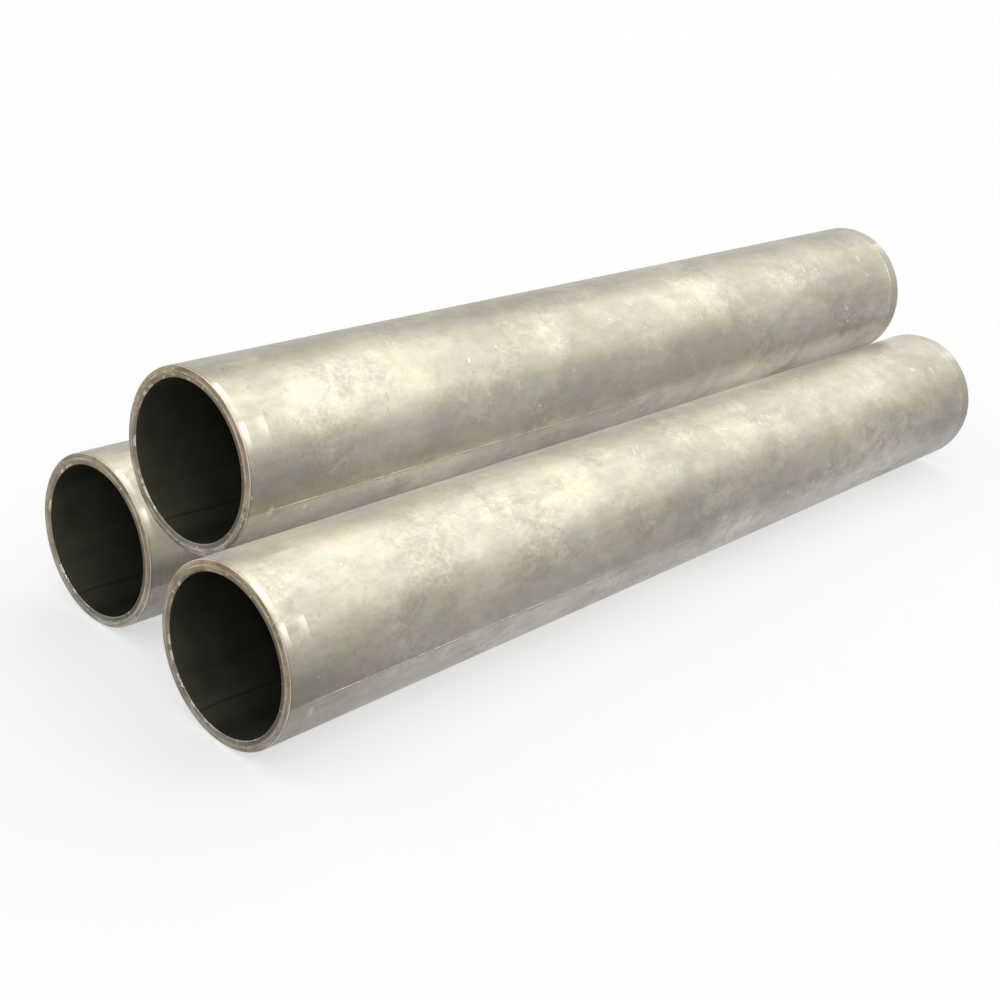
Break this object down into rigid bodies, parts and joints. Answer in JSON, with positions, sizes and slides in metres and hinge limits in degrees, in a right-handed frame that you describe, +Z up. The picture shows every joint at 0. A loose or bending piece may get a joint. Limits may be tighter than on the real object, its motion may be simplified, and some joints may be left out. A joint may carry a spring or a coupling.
{
  "type": "stack of steel tubes",
  "caption": "Loose pile of plain round steel tubes with thick walls and open bores, lying side by side with another in the valley above, ends slightly staggered, kept as raw stock.",
  "frame": {"origin": "on the floor, under the middle of the two lower tubes and half way along the pile", "axes": "+Z up, +Y along the tubes from their near ends to the far ends with the scribed ring, +X from the lower left tube to the lower right tube"},
  "size_m": [0.3986, 1.2, 0.2914],
  "materials": {
    "steel": "satin, pickled, with mottled handling marks"
  },
  "bodies": {
    "root": {"lower_left_tube": "steel", "lower_right_tube": "steel", "upper_tube": "steel"}
  },
  "joints": []
}
